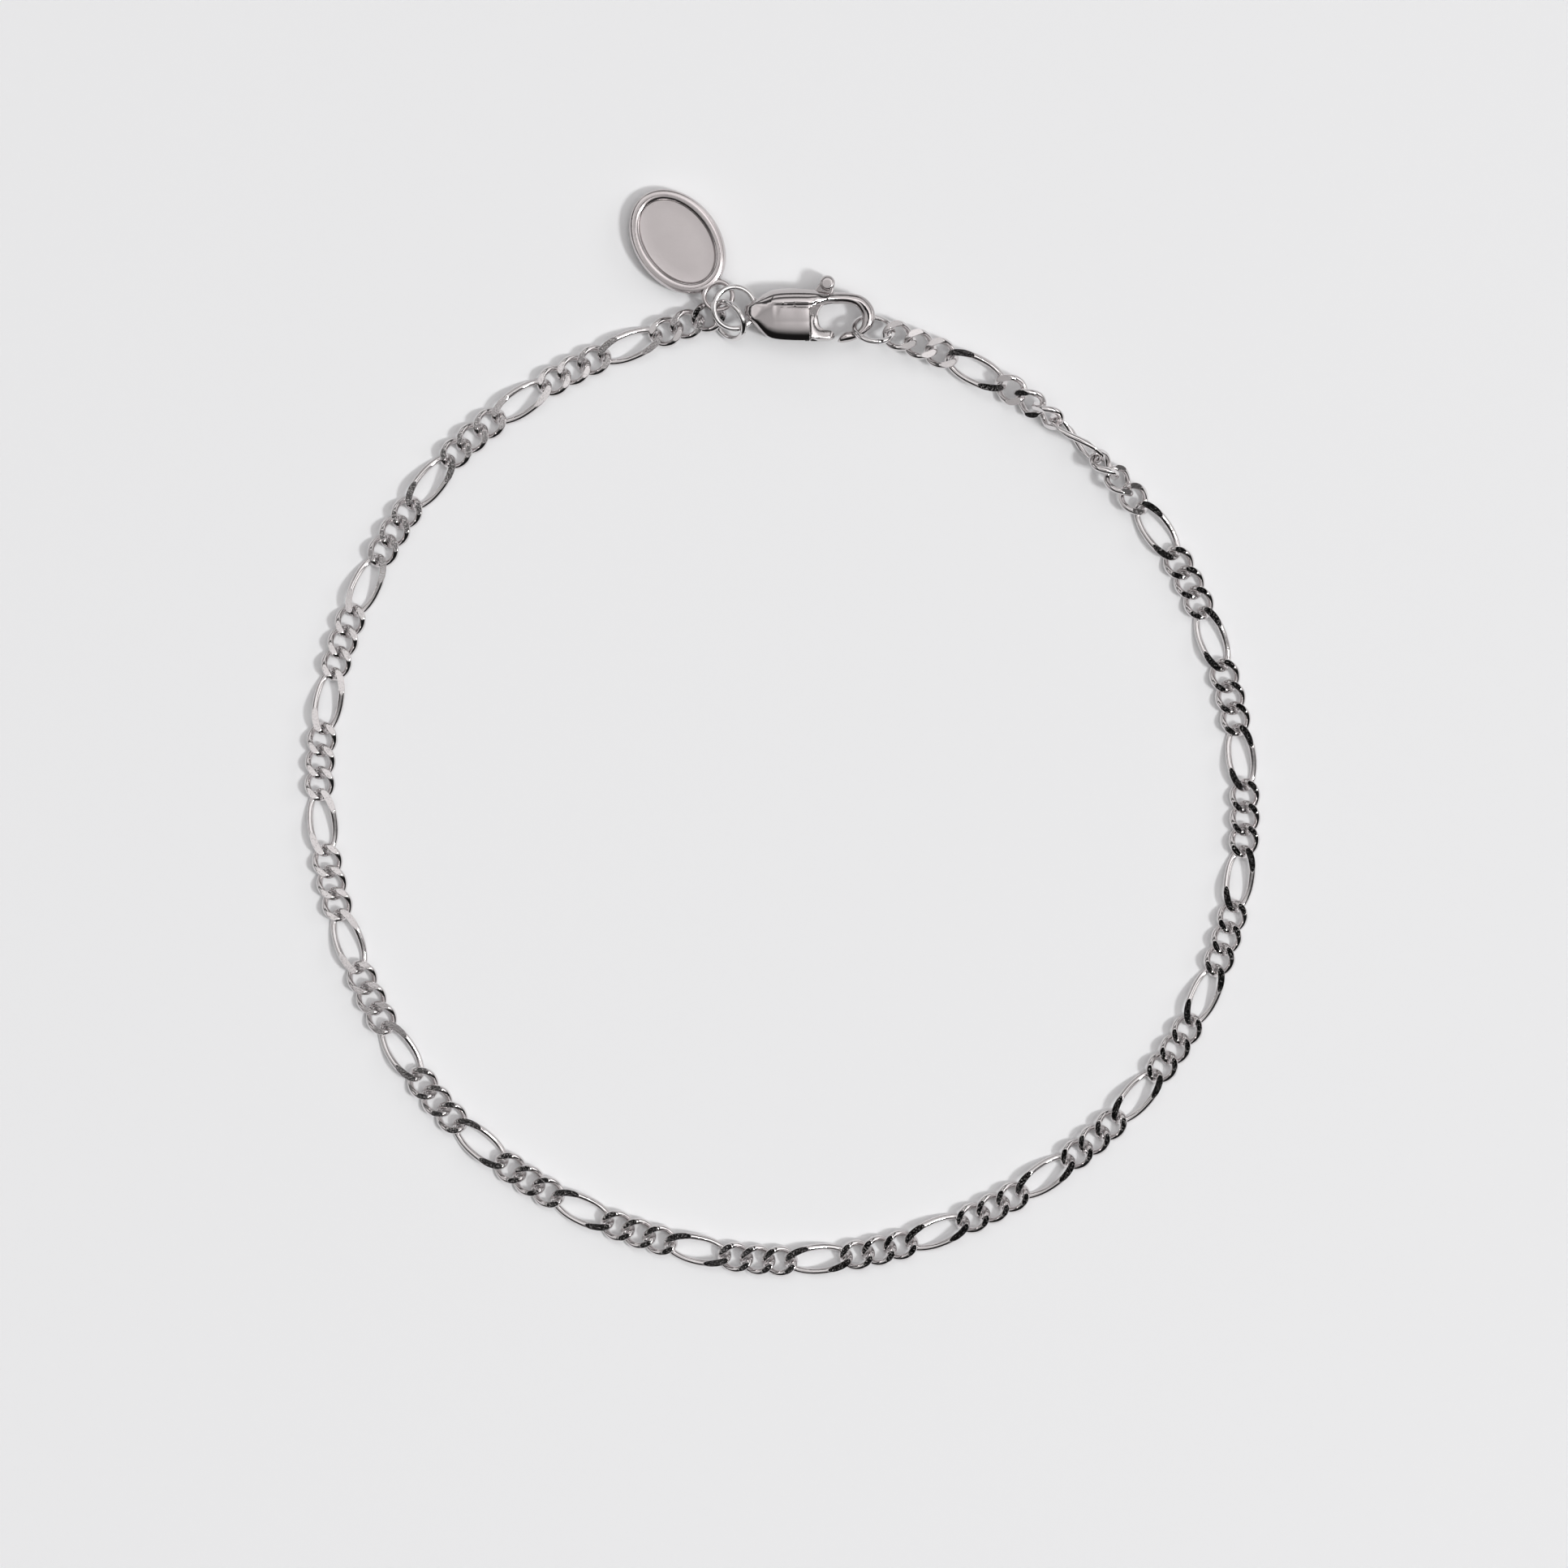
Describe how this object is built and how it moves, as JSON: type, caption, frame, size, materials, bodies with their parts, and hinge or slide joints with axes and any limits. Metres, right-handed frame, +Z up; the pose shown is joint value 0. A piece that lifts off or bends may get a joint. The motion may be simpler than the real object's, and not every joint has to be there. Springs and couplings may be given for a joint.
{
  "type": "link bracelet",
  "caption": "Figaro link bracelet of long and short twisted oval links, closed by a lobster clasp with a sprung lever, with a small plain oval tag.",
  "frame": {"origin": "middle of the chain's loop, on the surface that the bracelet lies on", "axes": "+Z up from the surface, +Y from the middle of the loop towards the clasp, +X to the right of it"},
  "size_m": [0.0654, 0.0744, 0.0026],
  "materials": {
    "links": "rhodium-plated, polished, with ground flats",
    "rings": "rhodium-plated, polished wire",
    "clasp": "rhodium-plated casting, tumble polished",
    "lever": "rhodium-plated casting, tumble polished",
    "pin": "plain steel pin",
    "tag": "rhodium-plated, polished rim and satin field"
  },
  "bodies": {
    "bracelet": {"long_link_01": "links", "long_link_02": "links", "long_link_03": "links", "long_link_04": "links", "long_link_05": "links", "long_link_06": "links", "long_link_07": "links", "long_link_08": "links", "long_link_09": "links", "long_link_10": "links", "long_link_11": "links", "long_link_12": "links", "long_link_13": "links", "long_link_14": "links", "long_link_15": "links", "long_link_16": "links", "long_link_17": "links", "long_link_18": "links", "long_link_19": "links", "long_link_20": "links", "long_link_21": "links", "long_link_22": "links", "short_links_01": "links", "short_links_02": "links", "short_links_03": "links", "short_links_04": "links", "short_links_05": "links", "short_links_06": "links", "short_links_07": "links", "short_links_08": "links", "short_links_09": "links", "short_links_10": "links", "short_links_11": "links", "short_links_12": "links", "short_links_13": "links", "short_links_14": "links", "short_links_15": "links", "short_links_16": "links", "short_links_17": "links", "short_links_18": "links", "short_links_19": "links", "short_links_20": "links", "short_links_21": "links", "short_links_22": "links", "short_links_23": "links", "tag_ring": "rings", "start_ring": "rings", "catch_ring": "rings", "clasp_body": "clasp", "clasp_pin": "pin", "tag": "tag"},
    "lever": {"clasp_lever": "lever"}
  },
  "joints": [
    {"name": "clasp_lever_turn", "type": "hinge", "parent": "bracelet", "child": "lever", "pos_m": [0.00143, 0.0325, 0.0013], "axis": [0, 0, 1], "range_deg": [0, 22], "stiffness_Nm_per_rad": 0.002}
  ]
}
